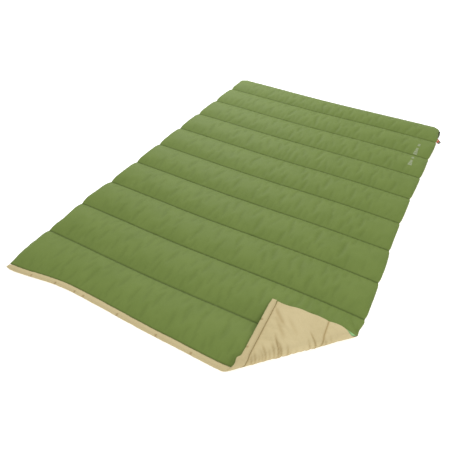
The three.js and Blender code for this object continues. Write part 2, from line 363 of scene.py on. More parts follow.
def woven(name, deep, pale, thread_pitch, roughness, sheen, mottle, weave_depth):
    """Woven cloth: crossing threads, slow changes of colour, and a soft sheen."""
    material = bpy.data.materials.new(name)
    material.use_nodes = True
    nodes = material.node_tree.nodes
    links = material.node_tree.links
    shader = nodes["Principled BSDF"]
    shader.inputs["Roughness"].default_value = roughness
    shader.inputs["Sheen Weight"].default_value = sheen
    shader.inputs["Sheen Roughness"].default_value = 0.45
    shader.inputs["Sheen Tint"].default_value = (*pale, 1)
    shader.inputs["Specular IOR Level"].default_value = 0.15
    cut = nodes.new("ShaderNodeUVMap")
    cut.uv_map = "cloth"

    def maths(operation, first, second=None):
        node = nodes.new("ShaderNodeMath")
        node.operation = operation
        for socket, value in zip(node.inputs, (first, second)):
            if value is None:
                continue
            if isinstance(value, (int, float)):
                socket.default_value = value
            else:
                links.new(value, socket)
        return node.outputs[0]

    split = nodes.new("ShaderNodeSeparateXYZ")
    links.new(cut.outputs["UV"], split.inputs[0])
    turns = 2 * math.pi / thread_pitch
    warp = maths("SINE", maths("MULTIPLY", split.outputs[0], turns))
    weft = maths("SINE", maths("MULTIPLY", split.outputs[1], turns))
    weave = maths("MULTIPLY", warp, weft)

    def clouds(scale, detail):
        node = nodes.new("ShaderNodeTexNoise")
        node.inputs["Scale"].default_value = scale
        node.inputs["Detail"].default_value = detail
        links.new(cut.outputs["UV"], node.inputs["Vector"])
        return node.outputs[0]

    slow = clouds(9, 3)
    slub = clouds(160, 4)
    tone = maths("MULTIPLY_ADD", slow, mottle)
    tone.node.inputs[2].default_value = 0.5 - mottle / 2
    tone = maths("ADD", tone, maths("MULTIPLY", maths("SUBTRACT", slub, 0.5), 0.5 * mottle))
    tone = maths("ADD", tone, maths("MULTIPLY", weave, 0.05))
    links.new(colour_mix(material, tone, deep, pale), shader.inputs["Base Color"])
    relief = maths("ADD", maths("MULTIPLY", weave, weave_depth), maths("MULTIPLY", slub, 0.0004))
    bump = nodes.new("ShaderNodeBump")
    bump.inputs["Strength"].default_value = 0.5
    bump.inputs["Distance"].default_value = 1
    links.new(relief, bump.inputs["Height"])
    links.new(bump.outputs["Normal"], shader.inputs["Normal"])
    rough = maths("MULTIPLY_ADD", slow, 0.12)
    rough.node.inputs[2].default_value = roughness - 0.06
    links.new(rough, shader.inputs["Roughness"])
    return material


def tinted(material, attribute, colour, strength):
    """Lays a second colour over a cloth where the named attribute says."""
    nodes = material.node_tree.nodes
    links = material.node_tree.links
    shader = nodes["Principled BSDF"]
    under = shader.inputs["Base Color"].links[0].from_socket
    where = nodes.new("ShaderNodeAttribute")
    where.attribute_name = attribute
    amount = nodes.new("ShaderNodeMath")
    amount.operation = "MULTIPLY"
    amount.inputs[1].default_value = strength
    links.new(where.outputs["Fac"], amount.inputs[0])
    links.new(colour_mix(material, amount.outputs[0], under, colour), shader.inputs["Base Color"])


SHELL_DEEP = (0.112, 0.164, 0.031)
SHELL_PALE = (0.166, 0.226, 0.055)
# Painted shade: a darker olive laid along the rows of stitching and, more weakly, into the hollows
# between the puckers.
SHELL_SEAM_SHADE = (0.052, 0.078, 0.012)
HOLLOW_SHADE = 0.15
ROW_SHADE_WIDTH = 0.0032
# Painted highlight: a pale green laid on the turned shell near the right end of the fold.
SHELL_SLIVER_HIGHLIGHT = (0.31, 0.56, 0.25)
shell_cloth = woven("shell_cloth", SHELL_DEEP, SHELL_PALE, 0.0011, 0.62, 0.05, 0.7, 0.00008)
tinted(shell_cloth, "in_seam", SHELL_SEAM_SHADE, 0.9)
tinted(shell_cloth, "glow", SHELL_SLIVER_HIGHLIGHT, 1.0)
# The painted shade mask: full on each row of stitching and fading off it within a few millimetres,
# weaker in the hollows.
from_line = np.min([abs(flat_y - line) for line in lines_across[:-1]], axis=0)
in_seam = np.maximum(np.exp(-((from_line / ROW_SHADE_WIDTH) ** 2)), HOLLOW_SHADE * hollow)


def strip_of(values, number):
    """The rows of a relief between one row of stitching and the next, for channel 1 to 8."""
    first = line_rows[len(lines_across) - 1 - number]
    last = line_rows[len(lines_across) - number]
    return values[first : last + 1]


def footward_body(number):
    return "foot_section" if number == 8 else f"channel_{number + 1:02d}"


for number in range(1, 9):
    name = f"shell_channel_{number:02d}"
    piece = cloth_object(
        name, strip_of(shell, number), strip_of(flat_x, number), strip_of(flat_y, number)
    )
    point_attribute(piece, "in_seam", strip_of(in_seam, number))
    thicken(piece, SHELL_THICKNESS)
    piece.data.materials.append(shell_cloth)
    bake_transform(piece)
    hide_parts(f"shell_{number:02d}")

# ---------------------------------------------------------------------------------------------
# The turned corner. The foot-right corner is lifted and laid back over the shell, so that the
# lining shows. The layers run on round the fold: the lining outside, the shell inside.
fold_point = Vector(joints["corner_fold"]["pos_m"])
FOLD_AXIS_HEIGHT = fold_point.z
NOSE_START = fold_point.x + 0.004
NOSE_BEARING = math.radians(46.36)
UNDER_FOLD = 0.026
OVER_FOLD = 0.0267
FLAP_DRAG = 0.018
FLAP_EDGE_HEIGHT = 0.037
CRUMPLE_PLACE = 0.045
CRUMPLE_HALF_WIDTH = 0.012
nose_run = (math.cos(NOSE_BEARING), math.sin(NOSE_BEARING))
NOSE_LENGTH = (SIDE - NOSE_START) / nose_run[0]


def fold_coordinates(x, y):
    """How far a place is beyond the fold's nose, and how far along it from its foot end."""
    beyond = (x - NOSE_START) * nose_run[1] - (y - FOOT) * nose_run[0]
    along = (x - NOSE_START) * nose_run[0] + (y - FOOT) * nose_run[1]
    return beyond, along


def turned(x, y, low, high, nose):
    """Carries places of one layer round the fold, from its flat height to its turned height."""
    beyond, along = fold_coordinates(x, y)
    turn = np.where(beyond < 0, beyond / UNDER_FOLD, beyond / OVER_FOLD)
    turn = np.clip(turn, -1, 1) * math.pi / 2
    in_fold = (UNDER_FOLD + nose) * np.cos(turn) - UNDER_FOLD
    past = -UNDER_FOLD - (beyond - OVER_FOLD)
    across = np.where(beyond < -UNDER_FOLD, beyond, np.where(beyond > OVER_FOLD, past, in_fold))
    dragged = ease((beyond + UNDER_FOLD) / UNDER_FOLD)
    dragged = dragged * ease(along / 0.035) * (1 - ease((along - 0.40) / (NOSE_LENGTH - 0.40)))
    along = along + FLAP_DRAG * dragged
    height = (low + high) / 2 + (high - low) / 2 * np.sin(turn)
    new_x = NOSE_START + along * nose_run[0] + across * nose_run[1]
    new_y = FOOT + along * nose_run[1] - across * nose_run[0]
    near_hem = ease(1 - (y - FOOT) / 0.06) * ease((beyond - 0.002) / 0.02)
    bulge = np.exp(-(((new_y - FOOT - CRUMPLE_PLACE) / CRUMPLE_HALF_WIDTH) ** 2)) * near_hem
    return np.stack([new_x - 0.007 * bulge, new_y, height + 0.006 * bulge], -1)


TURN_HALF_DEPTH = 0.0008
SHELL_NOSE = -0.0025
LINING_NOSE = 0.0005
FLAP_SHELL_REST = 0.0300
FLAP_SHELL_EDGE = FLAP_EDGE_HEIGHT - 0.0006
foot_rows = slice(0, line_rows[2] + 1)
shell_foot_flat = shell[foot_rows]
shell_foot_puff = puff[foot_rows]
shell_foot_high = FLAP_SHELL_EDGE + (FLAP_SHELL_REST - FLAP_SHELL_EDGE) * shell_foot_puff
beyond_flat, along_flat = fold_coordinates(flat_x[foot_rows], flat_y[foot_rows])
shell_foot_places = turned(
    shell_foot_flat[..., 0], shell_foot_flat[..., 1], shell_foot_flat[..., 2],
    shell_foot_high, SHELL_NOSE,
)

# Three soft creases run from the right end of the fold into the channel beyond it.
fold_end = Vector((SIDE, FOOT + (SIDE - NOSE_START) * math.tan(NOSE_BEARING)))
for bearing, reach, depth in ((118, 0.16, 0.0085), (84, 0.09, 0.0065), (138, 0.13, 0.0045)):
    line = Vector((math.cos(math.radians(bearing)), math.sin(math.radians(bearing))))
    from_end_x = shell_foot_places[..., 0] - fold_end.x
    from_end_y = shell_foot_places[..., 1] - fold_end.y
    out = from_end_x * line.x + from_end_y * line.y
    off = -from_end_x * line.y + from_end_y * line.x
    on_panel = beyond_flat < -0.004
    strength = ease((out - 0.008) / 0.03) * (1 - ease(out / reach))
    strength = strength * on_panel * np.minimum(1, 4 * shell_foot_puff)
    shell_foot_places[..., 2] -= depth * strength * np.exp(-((off / 0.007) ** 2))
    shell_foot_places[..., 2] += 0.5 * depth * strength * np.exp(-(((off - 0.014) / 0.008) ** 2))

# Close to that end the lining is drawn in, and the turned shell shows past it; a painted highlight
# makes that sliver pale.
SLIVER_REACH = 0.048
SLIVER_PLACE = NOSE_LENGTH - 0.014
sliver_highlight = ease(1 - abs(along_flat - SLIVER_PLACE) / SLIVER_REACH)
sliver_highlight = sliver_highlight * ease((beyond_flat - 0.002) / 0.01)

shell_foot = cloth_object(
    "shell_foot_and_corner", shell_foot_places, flat_x[foot_rows], flat_y[foot_rows]
)
point_attribute(shell_foot, "in_seam", in_seam[foot_rows])
point_attribute(shell_foot, "glow", sliver_highlight * ease((flat_x[foot_rows] - SIDE + 0.04) / 0.02))
thicken(shell_foot, SHELL_THICKNESS)
shell_foot.data.materials.append(shell_cloth)
under_axis = (fold_point.x, fold_point.y, FOLD_AXIS_HEIGHT - TURN_HALF_DEPTH)
over_axis = (fold_point.x, fold_point.y, FOLD_AXIS_HEIGHT + TURN_HALF_DEPTH)
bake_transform(shell_foot)
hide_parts("shell_foot", "shell_corner")

# ---------------------------------------------------------------------------------------------
# Lining. One beige brushed cloth is the lower face, sewn through at the same rows. It lies flat
# on the ground between them, and it is the outer layer of the turned corner, where it puffs up
# and wrinkles.
LINING_THICKNESS = 0.0005
LINING_BELOW_SHELL = 0.0011
LINING_ON_GROUND = 0.0004
FLAP_LINING_EDGE = FLAP_EDGE_HEIGHT + 0.0006
FLAP_LINING_CROWN = 0.0515

lining_edge = held_flat - LINING_BELOW_SHELL
lining_height = LINING_ON_GROUND + (lining_edge - LINING_ON_GROUND) * (1 - puff) ** 1.6
lining = np.stack([shell[..., 0], shell[..., 1], lining_height], -1)

LINING_DEEP = (0.445, 0.362, 0.186)
LINING_PALE = (0.600, 0.510, 0.300)
# Painted shade: a darker brown laid along the rows of the lining and in the valleys of its creases.
LINING_CREASE_SHADE = (0.30, 0.205, 0.075)
lining_cloth = woven("lining_cloth", LINING_DEEP, LINING_PALE, 0.0012, 0.82, 0.25, 0.6, 0.0001)
tinted(lining_cloth, "in_seam", LINING_CREASE_SHADE, 0.8)


def flip(piece):
    piece.data.flip_normals()
    return piece


for number in range(1, 9):
    name = f"lining_channel_{number:02d}"
    piece = cloth_object(
        name, strip_of(lining, number), strip_of(flat_x, number), strip_of(flat_y, number)
    )
    point_attribute(piece, "in_seam", strip_of(in_seam, number))
    thicken(flip(piece), LINING_THICKNESS)
    piece.data.materials.append(lining_cloth)
    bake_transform(piece)
    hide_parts(f"lining_{number:02d}")

# The foot length is on a finer grid, so that the turned corner can wrinkle.
FINE_STEP = 0.004
fine_rows = []
for low_line, high_line in zip(lines_across[:2], lines_across[1:3]):
    fine_rows += spaced(low_line, high_line, FINE_STEP)
fine_rows = np.array([*fine_rows, lines_across[2]])
fine_columns = np.array([*spaced(-SIDE, SIDE, FINE_STEP), SIDE])
fine_x, fine_y = np.meshgrid(fine_columns, fine_rows)
fine_flat = sample(lining, fine_x, fine_y)
fine_puff = sample(puff, fine_x, fine_y)
fine_high = FLAP_LINING_EDGE + (FLAP_LINING_CROWN - FLAP_LINING_EDGE) * fine_puff**0.8
fine_places = turned(
    fine_flat[..., 0], fine_flat[..., 1], fine_flat[..., 2], fine_high, LINING_NOSE
)
fine_beyond, fine_along = fold_coordinates(fine_x, fine_y)
flap_ripple = np.array(
    [[wander(a, b * 0.3, 0.015, 41) for a, b in zip(row_a, row_b)]
     for row_a, row_b in zip(fine_along, fine_beyond)]
)
from_row_9 = abs(fine_y - seam_places[8])
loose = ease((fine_beyond + 0.016) / 0.016) * ease((SIDE - fine_x) / 0.018) * ease(
    (fine_y - DITCH) / 0.012
)
loose = loose * ease((from_row_9 - 0.001) / 0.012)
flap_held = (fine_beyond < -0.010) | (fine_x > SIDE - 0.001) | (fine_y < DITCH + 0.001)
flap_held = flap_held | (from_row_9 < 0.001)
fine_places[..., 2] += 0.0026 * flap_ripple * loose * (1 - 0.75 * ease(fine_beyond / 0.12))
first_column = int(np.searchsorted(fine_columns, NOSE_START - 0.03))
part = fine_places[:, first_column:]
settled = settle(
    part, flap_held[:, first_column:], pressure=1.0, growth=0.010, bending=0.4, frames=10
)
fine_places[:, first_column:] += (settled - part) * loose[:, first_column:, None]

# Sharp creases rise from the fold, straight across it, with three long soft ones beside the hem.
# Each has its place along the nose, its far and near end beyond it, its depth and its lean.
ABOVE_FOLD = 0.0305
CREASE_WIDTH = 0.0034
LONG_CREASE_WIDTH = 0.0065
FULL_SHADE_DEPTH = 0.005
FLAP_CREASES = (
    (0.039, 0.050, -0.004, 0.0034, 0.30),
    (0.057, 0.062, -0.002, 0.0044, 0.30),
    (0.069, 0.040, -0.006, 0.0044, 0.30),
    (0.084, 0.030, -0.010, 0.0032, 0.22),
    (0.098, 0.036, -0.004, 0.0036, 0.15),
    (0.109, 0.060, -0.006, 0.0044, 0.15),
    (0.124, 0.036, -0.006, 0.0030, 0.12),
    (0.138, 0.052, -0.008, 0.0040, 0.20),
    (0.152, 0.086, -0.010, 0.0066, 0.27),
    (0.164, 0.046, -0.012, 0.0066, 0.18),
    (0.187, 0.032, -0.014, 0.0056, 0.22),
    (0.201, 0.020, -0.010, 0.0026, 0.10),
    (0.224, 0.024, -0.006, 0.0022, 0.05),
    (0.252, 0.020, -0.006, 0.0020, 0.05),
    (0.275, 0.036, -0.006, 0.0034, 0.05),
    (0.298, 0.062, -0.010, 0.0062, 0.02),
    (0.340, 0.040, 0.004, 0.0040, 0.06),
    (0.361, 0.034, 0.004, 0.0022, 0.10),
    (0.223, 0.235, 0.110, 0.0034, 0.10),
    (0.199, 0.180, 0.060, 0.0024, 0.15),
    (0.249, 0.150, 0.060, 0.0016, 0.05),
)
fine_crease_shade = np.zeros(fine_x.shape)
above_fold = fine_places[..., 2] > ABOVE_FOLD
for place, far_end, near_end, depth, lean in FLAP_CREASES:
    narrow = CREASE_WIDTH if far_end < 0.1 else LONG_CREASE_WIDTH
    off = fine_along - place - lean * (fine_beyond - near_end)
    out = (fine_beyond - near_end) / (far_end - near_end)
    strength = ease((out + 0.15) / 0.3) * (1 - ease((out - 0.45) / 0.7)) * loose
    valley = np.exp(-((off / narrow) ** 2))
    ridge = np.exp(-(((off + 2.2 * narrow) / (1.8 * narrow)) ** 2))
    fine_places[..., 2] += depth * strength * (0.5 * ridge - valley)
    # Each crease's valley also adds to the painted shade mask.
    fine_crease_shade += np.clip(strength * valley * depth / FULL_SHADE_DEPTH, 0, 1)
on_flap = fine_beyond > OVER_FOLD
fine_places[..., 2] = np.where(
    above_fold, np.maximum(fine_places[..., 2], ABOVE_FOLD), fine_places[..., 2]
)
LOWEST_FLAP = 0.0390
HIGHEST_FLAP = 0.0570
clipped = np.clip(fine_places[..., 2], LOWEST_FLAP, HIGHEST_FLAP)
fine_places[..., 2] = np.where(on_flap & (loose > 0.3), clipped, fine_places[..., 2])

# The lining is drawn in at the side near the end of the fold.
drawn_in = ease(1 - abs(fine_along - SLIVER_PLACE) / SLIVER_REACH)
drawn_in = drawn_in * ease((fine_beyond - 0.002) / 0.02)
drawn_in = drawn_in * ease((fine_x - SIDE + 0.10) / 0.10)
fine_places[..., 0] -= 0.005 * drawn_in
fine_places[..., 1] -= 0.011 * drawn_in
lining_foot = flip(cloth_object("lining_foot_and_corner", fine_places, fine_x, fine_y))
# The lining's painted shade mask: along the rows, and in the valleys of the corner's creases.
fine_from_line = np.min([abs(fine_y - line) for line in lines_across[:3]], axis=0)
fine_painted_seam_shade = np.maximum(
    np.exp(-((fine_from_line / 0.003) ** 2)), 0.8 * np.clip(fine_crease_shade, 0, 1)
)
point_attribute(lining_foot, "in_seam", fine_painted_seam_shade)
thicken(lining_foot, LINING_THICKNESS)
lining_foot.data.materials.append(lining_cloth)
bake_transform(lining_foot)
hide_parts("lining_foot", "lining_corner")

# ---------------------------------------------------------------------------------------------
# Wadding. Hollow-fibre wadding fills every channel between the two cloths. Each channel holds
# one soft pad, thinned towards the rows of stitching that pinch it.
WADDING_STEP = 0.016
WADDING_INSET = 0.010
WADDING_CLEARANCE = 0.0016

wadding_fibre = bpy.data.materials.new("wadding_fibre")
wadding_fibre.use_nodes = True
fibre_nodes = wadding_fibre.node_tree.nodes
fibre_links = wadding_fibre.node_tree.links
fibre_shader = fibre_nodes["Principled BSDF"]
fibre_place = fibre_nodes.new("ShaderNodeTexCoord")
fibre_noise = fibre_nodes.new("ShaderNodeTexNoise")
fibre_noise.inputs["Scale"].default_value = 220
fibre_noise.inputs["Detail"].default_value = 5
fibre_links.new(fibre_place.outputs["Object"], fibre_noise.inputs["Vector"])
fibre_tone = colour_mix(
    wadding_fibre, fibre_noise.outputs[0], (0.78, 0.78, 0.74), (0.93, 0.93, 0.90)
)
fibre_links.new(fibre_tone, fibre_shader.inputs["Base Color"])
fibre_bump = fibre_nodes.new("ShaderNodeBump")
fibre_bump.inputs["Strength"].default_value = 0.6
fibre_bump.inputs["Distance"].default_value = 0.001
fibre_links.new(fibre_noise.outputs[0], fibre_bump.inputs["Height"])
fibre_links.new(fibre_bump.outputs["Normal"], fibre_shader.inputs["Normal"])
fibre_shader.inputs["Roughness"].default_value = 0.95
fibre_shader.inputs["Sheen Weight"].default_value = 0.4


def extreme_nearby(values, pick, reach):
    """The least or the greatest of the values within a few grid steps of each place."""
    result = values.copy()
    for _ in range(reach):
        padded = np.pad(result, 1, mode="edge")
        tall, wide = values.shape
        around = [padded[i : i + tall, j : j + wide] for i in range(3) for j in range(3)]
        result = pick(around, axis=0)
    return result


wadding_top = extreme_nearby(shell[..., 2], np.min, 2)
wadding_bottom = extreme_nearby(lining[..., 2], np.max, 1)


def pad_shape(from_y, to_y, keep_flat=None, keep_turned=None):
    """A flat slab between two rows of stitching, cut at the fold where the quilt turns over."""
    low_y = from_y + WADDING_INSET
    high_y = to_y - WADDING_INSET
    edge_x = SIDE - WADDING_INSET
    across = round(2 * edge_x / WADDING_STEP)
    along = max(3, round((high_y - low_y) / WADDING_STEP))
    pad = bmesh.new()
    bmesh.ops.create_grid(pad, x_segments=across, y_segments=along, size=1)
    for vertex in pad.verts:
        vertex.co.x *= edge_x
        vertex.co.y = low_y + (vertex.co.y + 1) / 2 * (high_y - low_y)
    lifted = bmesh.ops.extrude_face_region(pad, geom=list(pad.faces))
    for item in lifted["geom"]:
        if isinstance(item, bmesh.types.BMVert):
            item.co.z = 1
    if keep_flat is not None or keep_turned is not None:
        offset = keep_flat if keep_flat is not None else keep_turned
        beyond = Vector((nose_run[1], -nose_run[0], 0))
        at = Vector((NOSE_START, FOOT, 0)) + beyond * offset
        everything = list(pad.verts) + list(pad.edges) + list(pad.faces)
        bmesh.ops.bisect_plane(
            pad, geom=everything, plane_co=at, plane_no=beyond,
            clear_outer=keep_flat is not None, clear_inner=keep_turned is not None,
        )
        open_edges = [edge for edge in pad.edges if edge.is_boundary]
        if open_edges:
            bmesh.ops.holes_fill(pad, edges=open_edges, sides=0)
    bmesh.ops.recalc_face_normals(pad, faces=list(pad.faces))
    for face in pad.faces:
        face.smooth = True
    return pad


def wadding_piece(name, pads, turned_over=False):
    """Joins a piece's pads and gives them their thickness between the two cloths."""
    mesh = bpy.data.meshes.new(name)
    joined = bmesh.new()
    for pad in pads:
        part = bpy.data.meshes.new("pad")
        pad.to_mesh(part)
        pad.free()
        joined.from_mesh(part)
        bpy.data.meshes.remove(part)
    joined.to_mesh(mesh)
    joined.free()
    slab = places_of(mesh)
    x, y, top = slab[:, 0], slab[:, 1], slab[:, 2]
    shell_at = sample(shell, x, y)
    top_at = sample(wadding_top, x, y)
    bottom_at = sample(wadding_bottom, x, y)
    puff_at = sample(puff, x, y)
    middle = (top_at + bottom_at) / 2
    from_row = np.min([abs(y - line) for line in lines_across], axis=0)
    fullness = 0.3 + 0.7 * ease((from_row - 0.008) / 0.036)
    half = np.maximum(fullness * ((top_at - bottom_at) / 2 - WADDING_CLEARANCE), 0.0002)
    flat_height = middle + half * (2 * top - 1)
    if turned_over:
        shell_high = FLAP_SHELL_EDGE + (FLAP_SHELL_REST - FLAP_SHELL_EDGE) * puff_at
        lining_high = FLAP_LINING_EDGE + (0.0415 - FLAP_LINING_EDGE) * puff_at
        middle = (shell_high + lining_high) / 2
        half = np.maximum((lining_high - shell_high) / 2 - WADDING_CLEARANCE, 0.0002)
        places = turned(
            shell_at[:, 0], shell_at[:, 1], flat_height, middle - half * (2 * top - 1), -0.001
        )
    else:
        places = np.stack([shell_at[:, 0], shell_at[:, 1], flat_height], -1)
    mesh.vertices.foreach_set("co", places.ravel().astype(np.float32))
    mesh.update()
    mesh.materials.append(wadding_fibre)
    return placed(name, mesh)


for number in range(1, 9):
    top_line = HEAD if number == 1 else seam_places[number - 2]
    piece = wadding_piece(f"wadding_{number:02d}", [pad_shape(seam_places[number - 1], top_line)])
    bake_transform(piece)
    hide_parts(f"filling_{number:02d}")

foot_lines = [(DITCH, seam_places[8]), (seam_places[8], seam_places[7])]
foot_pads = [pad_shape(a, b, keep_flat=-UNDER_FOLD - WADDING_INSET) for a, b in foot_lines]
wadding_foot = wadding_piece("wadding_foot", foot_pads)
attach(wadding_foot, "foot_section")
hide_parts("filling_foot")
corner_pads = [pad_shape(a, b, keep_turned=OVER_FOLD + WADDING_INSET) for a, b in foot_lines]
wadding_corner = wadding_piece("wadding_corner", corner_pads, turned_over=True)
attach(wadding_corner, "turned_corner")
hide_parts("filling_corner")

# ---------------------------------------------------------------------------------------------
# Foot hem. A soft roll along the whole foot edge: lining cloth wrapped round a cord of wadding
# and sewn down in a ditch beside it. It follows the turned corner, and it crumples where it
# goes round the fold.
HEM_HALF_WIDTH = 0.0122
HEM_HALF_HEIGHT = 0.0069
HEM_MIDDLE_HEIGHT = 0.0071
HEM_TURNED_MIDDLE = 0.0375
HEM_SIDES = 20
HEM_CUT_WIDTH = 0.062
HEM_STEP = 0.004
HEM_PINCHES = (-0.555, -0.432, -0.335, -0.29, -0.12, 0.06, 0.21, 0.45, 0.585)

hem_places_along = np.arange(-SIDE, SIDE + HEM_STEP / 2, HEM_STEP)
hem_turn = np.radians(np.linspace(-172, 172, HEM_SIDES + 1))
hem_x, hem_angle = np.meshgrid(hem_places_along, hem_turn)
hem_pucker = np.array(
    [
        [wander(x, math.sin(a) * 0.02, 0.014, 60 + math.cos(a)) for x in hem_places_along]
        for a in hem_turn
    ]
)
hem_swell = np.array([wander(x, 0, 0.07, 71) for x in hem_places_along])
pinch = np.zeros(len(hem_places_along))
for place in HEM_PINCHES:
    pinch += np.exp(-((hem_places_along - place) / 0.0035) ** 2)
end_taper = 1 - 0.25 * ease(1 - (SIDE - abs(hem_places_along)) / 0.03)
roundness = 1 + 0.06 * hem_pucker + 0.05 * hem_swell - 0.10 * pinch * (np.cos(hem_angle) > -0.2)


def hem_ring(x, angle, size):
    """The roll's section: flattened where it rests, and drawn in to the ditch."""
    out = np.cos(angle)
    up = np.sin(angle)
    foot_sway = through(FOOT_EDGE, x)
    y = DITCH + foot_sway - HEM_HALF_WIDTH * (1 + out * size)
    square_up = np.sign(up) * abs(up) ** 0.85
    return y, square_up * size


def hem_drawn_in(x):
    """Places along the hem, once its ends stand in from the straight sides as the shell does."""
    pull = np.where(x < 0, LEFT_SIDE[0][1], RIGHT_SIDE[0][1])
    return x - np.sign(x) * ease((abs(x) - SIDE_PULL_START) / (SIDE - SIDE_PULL_START)) * pull


hem_size = roundness * end_taper
hem_y, hem_up = hem_ring(hem_x, hem_angle, hem_size)
end_close = 0.15 + 0.85 * ease((SIDE - abs(hem_x)) / 0.007)
hem_low = np.maximum(HEM_MIDDLE_HEIGHT + HEM_HALF_HEIGHT * hem_up * end_close, 0.0004)
hem_high = HEM_TURNED_MIDDLE - HEM_HALF_HEIGHT * 1.05 * hem_up * end_close
hem_places = turned(hem_drawn_in(hem_x), hem_y, hem_low, hem_high, -0.001 - 0.0015 * hem_up)

HEM_DEEP = (0.420, 0.340, 0.175)
HEM_PALE = (0.560, 0.475, 0.275)
# Painted shade: a darker brown laid in the pinches of the roll, on its outer side.
HEM_PINCH = (0.24, 0.15, 0.05)
hem_cloth = woven("hem_cloth", HEM_DEEP, HEM_PALE, 0.0012, 0.82, 0.25, 0.7, 0.0001)
tinted(hem_cloth, "pinched", HEM_PINCH, 0.7)
hem_round = FOOT + HEM_CUT_WIDTH / HEM_SIDES * np.arange(1, HEM_SIDES + 2)
hem_cut_x, hem_cut_y = np.meshgrid(hem_places_along, hem_round)
hem = cloth_object("hem_binding", hem_places, hem_cut_x, hem_cut_y)
point_attribute(hem, "pinched", np.clip(pinch * (abs(hem_angle) < 1.3), 0, 1))
thicken(hem, LINING_THICKNESS)
hem.data.materials.append(hem_cloth)
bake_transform(hem)
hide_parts("hem_binding_foot", "hem_binding_corner")


def hem_wadding(name, from_x, to_x):
    """The cord of wadding inside the hem, between two places along it."""
    along = np.linspace(from_x, to_x, round((to_x - from_x) / 0.012) + 1)
    angles = np.radians(np.arange(0, 360, 30))
    x, angle = np.meshgrid(along, angles)
    size = 0.78 * np.interp(x, hem_places_along, end_taper)
    y, up = hem_ring(x, angle, size)
    low = HEM_MIDDLE_HEIGHT + HEM_HALF_HEIGHT * up
    high = HEM_TURNED_MIDDLE - HEM_HALF_HEIGHT * up
    places = turned(hem_drawn_in(x), y, low, high, -0.001 - 0.001 * up)
    cord = bmesh.new()
    bmesh.ops.create_cone(cord, cap_ends=True, segments=len(angles), radius1=1, radius2=1, depth=2)
    sides = [edge for edge in cord.edges if abs(edge.verts[0].co.z - edge.verts[1].co.z) > 1]
    bmesh.ops.subdivide_edges(cord, edges=sides, cuts=len(along) - 2, use_grid_fill=True)
    for vertex in cord.verts:
        station = round((vertex.co.z + 1) / 2 * (len(along) - 1))
        around = round(math.degrees(math.atan2(vertex.co.y, vertex.co.x)) / 30) % len(angles)
        vertex.co = places[around, station]
    bmesh.ops.recalc_face_normals(cord, faces=list(cord.faces))
    for face in cord.faces:
        face.smooth = True
    mesh = bpy.data.meshes.new(name)
    cord.to_mesh(mesh)
    cord.free()
    mesh.materials.append(wadding_fibre)
    return placed(name, mesh)


hem_wadding_flat = hem_wadding("hem_wadding_flat", -SIDE + 0.010, NOSE_START - 0.050)
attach(hem_wadding_flat, "foot_section")
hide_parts("hem_wadding_foot")
hem_wadding_turned = hem_wadding("hem_wadding_turned", NOSE_START + 0.060, SIDE - 0.010)
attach(hem_wadding_turned, "turned_corner")
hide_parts("hem_wadding_corner")

# ---------------------------------------------------------------------------------------------
# Stitching. Lock stitches in olive thread hold the layers together along each row, on the shell
# and on the lining alike; a beige row runs beside the hem. Each row rides on its footward side.
STITCH_PITCH = 0.0045
STITCH_LENGTH = 0.0034
STITCH_WIDTH = 0.0010
STITCH_HEIGHT = 0.0006
ROW_OFFSET = 0.0012
ROW_ENDS = 0.008


def thread(name, deep, pale):
    material = bpy.data.materials.new(name)
    material.use_nodes = True
    nodes = material.node_tree.nodes
    links = material.node_tree.links
    place = nodes.new("ShaderNodeTexCoord")
    twist = nodes.new("ShaderNodeTexWave")
    twist.inputs["Scale"].default_value = 900
    twist.inputs["Distortion"].default_value = 1
    links.new(place.outputs["Object"], twist.inputs["Vector"])
    shader = nodes["Principled BSDF"]
    links.new(colour_mix(material, twist.outputs[1], deep, pale), shader.inputs["Base Color"])
    shader.inputs["Roughness"].default_value = 0.6
    return material


quilting_thread = thread("quilting_thread", (0.075, 0.110, 0.028), (0.130, 0.180, 0.050))
hem_thread = thread("hem_thread", (0.330, 0.270, 0.130), (0.450, 0.380, 0.210))


def row_of_stitches(name, line, finish, wanted=None):
    """One row of stitches, on both faces of the quilt, at those places that are wanted."""
    starts = np.arange(-SIDE + ROW_ENDS, SIDE - ROW_ENDS, STITCH_PITCH)
    row = bmesh.new()
    for face, high in (("shell", FLAP_SHELL_EDGE), ("lining", FLAP_LINING_EDGE)):
        layer = shell if face == "shell" else lining
        outward = STITCH_HEIGHT / 3 if face == "shell" else -STITCH_HEIGHT / 3
        ends = []
        for x in (starts, starts + STITCH_LENGTH):
            at = sample(layer, x, np.full_like(x, line))
            if wanted is None:
                ends.append(at + (0, 0, outward))
            else:
                nose = SHELL_NOSE if face == "shell" else LINING_NOSE
                ends.append(turned(at[:, 0], at[:, 1], at[:, 2] + outward, high - outward, nose))
        for start, end in zip(*ends):
            middle = Vector((start + end) / 2)
            if wanted is not None and not wanted(middle):
                continue
            direction = Vector(end - start)
            turn = direction.to_track_quat("X", "Z").to_matrix().to_4x4()
            size = Matrix.Diagonal((direction.length / 2, STITCH_WIDTH / 2, STITCH_HEIGHT / 2, 1))
            place = Matrix.Translation(middle) @ turn @ size
            bmesh.ops.create_icosphere(row, subdivisions=1, radius=1, matrix=place)
    for part in row.faces:
        part.smooth = True
    mesh = bpy.data.meshes.new(name)
    row.to_mesh(mesh)
    row.free()
    mesh.materials.append(finish)
    return placed(name, mesh)


for number in range(1, 9):
    piece = row_of_stitches(
        f"stitches_{number:02d}", seam_places[number - 1] - ROW_OFFSET, quilting_thread
    )
    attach(piece, footward_body(number))
    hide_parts(f"quilting_thread_{number:02d}")

